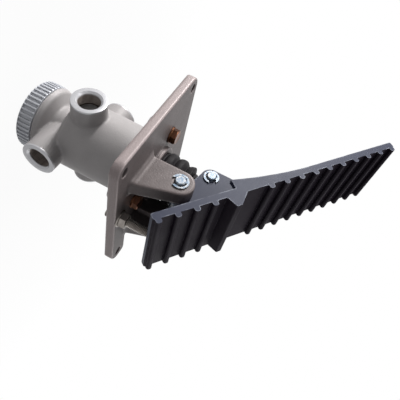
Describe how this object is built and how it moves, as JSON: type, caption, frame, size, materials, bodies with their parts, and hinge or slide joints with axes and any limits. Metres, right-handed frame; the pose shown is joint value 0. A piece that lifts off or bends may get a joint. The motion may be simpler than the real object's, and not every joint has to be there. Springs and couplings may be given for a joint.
{
  "type": "brake valve",
  "caption": "Foot brake valve: ribbed treadle on a pivot over a bolt-down plate, pressing a dual-circuit compressed-air valve with threaded ports.",
  "frame": {"origin": "centre of the four mounting holes, on the plate's underside", "axes": "+Z along the valve's axis towards the treadle, +X towards the treadle's toe, +Y along the pivot pin"},
  "size_m": [0.2125, 0.14, 0.3265],
  "materials": {
    "plate_casting": "sand cast, satin grey, bright where worn",
    "body_casting": "blasted light alloy casting",
    "cap_casting": "ribbed light alloy casting",
    "bright_zinc": "bright zinc plate",
    "yellow_zinc": "yellow zinc plate",
    "pedal_paint": "satin black paint over a casting",
    "black_rubber": "matte moulded rubber",
    "bronze": "turned bearing bronze",
    "turned_alloy": "turned and anodised",
    "spring_steel": "oiled spring wire"
  },
  "bodies": {
    "base": {"mounting_plate": "plate_casting", "valve_body": "body_casting", "body_seal": "black_rubber", "body_bolts": "yellow_zinc", "body_bolt_washers": "yellow_zinc", "stop_screw": "bright_zinc", "stop_lock_washer": "bright_zinc", "stop_lock_nut": "bright_zinc", "pivot_pin": "bright_zinc", "pivot_clips": "bright_zinc", "plunger_bush": "bronze", "plunger_boot": "black_rubber", "graduating_spring": "spring_steel", "primary_return_spring": "spring_steel", "primary_valve_cage": "turned_alloy", "primary_valve_spring": "spring_steel", "primary_snap_ring": "spring_steel", "secondary_seat": "turned_alloy", "secondary_seat_seal": "black_rubber", "secondary_valve_cage": "turned_alloy", "secondary_cage_seal": "black_rubber", "secondary_valve_spring": "spring_steel", "secondary_snap_ring": "spring_steel", "exhaust_cap": "cap_casting", "exhaust_flap": "black_rubber", "exhaust_flap_washer": "bright_zinc", "exhaust_flap_screw": "bright_zinc"},
    "pedal": {"pedal": "pedal_paint", "pivot_bushes": "bronze", "roller_pin": "bright_zinc", "roller_clips": "bright_zinc"},
    "roller": {"roller": "bright_zinc"},
    "plunger": {"plunger": "turned_alloy", "spring_seat": "turned_alloy"},
    "primary_piston": {"primary_piston": "turned_alloy", "primary_piston_seal": "black_rubber"},
    "primary_valve": {"primary_valve": "black_rubber"},
    "relay_piston": {"relay_piston": "turned_alloy", "relay_piston_seal": "black_rubber"},
    "secondary_valve": {"secondary_valve": "black_rubber"}
  },
  "joints": [
    {"name": "pedal_pivot", "type": "hinge", "parent": "base", "child": "pedal", "pos_m": [-0.027, 0, 0.043], "axis": [0, 1, 0], "range_deg": [0, 14], "stiffness_Nm_per_rad": 8, "springref_deg": -22.92},
    {"name": "roller_spin", "type": "hinge", "parent": "pedal", "child": "roller", "pos_m": [0.0044, 0, 0.0612], "axis": [0, 1, 0], "continuous": true},
    {"name": "plunger_slide", "type": "slide", "parent": "base", "child": "plunger", "axis": [0, 0, -1], "range_m": [0, 0.00819], "deforming": ["plunger_boot", "graduating_spring"]},
    {"name": "primary_piston_slide", "type": "slide", "parent": "base", "child": "primary_piston", "axis": [0, 0, -1], "range_m": [0, 0.00395], "deforming": ["primary_return_spring"]},
    {"name": "primary_valve_slide", "type": "slide", "parent": "base", "child": "primary_valve", "axis": [0, 0, -1], "range_m": [0, 0.00165], "deforming": ["primary_valve_spring"]},
    {"name": "relay_piston_slide", "type": "slide", "parent": "base", "child": "relay_piston", "axis": [0, 0, -1], "range_m": [0, 0.00305]},
    {"name": "secondary_valve_slide", "type": "slide", "parent": "base", "child": "secondary_valve", "axis": [0, 0, -1], "range_m": [0, 0.0015], "deforming": ["secondary_valve_spring"]}
  ],
  "couplings": [
    {"joint": "plunger_slide", "follows": "pedal_pivot", "m_per_rad": 0.033301},
    {"joint": "primary_piston_slide", "follows": "pedal_pivot", "m_per_rad": 0.015961},
    {"joint": "primary_valve_slide", "follows": "pedal_pivot", "m_per_rad": 0.006548},
    {"joint": "relay_piston_slide", "follows": "pedal_pivot", "m_per_rad": 0.012278},
    {"joint": "secondary_valve_slide", "follows": "pedal_pivot", "m_per_rad": 0.005934}
  ]
}
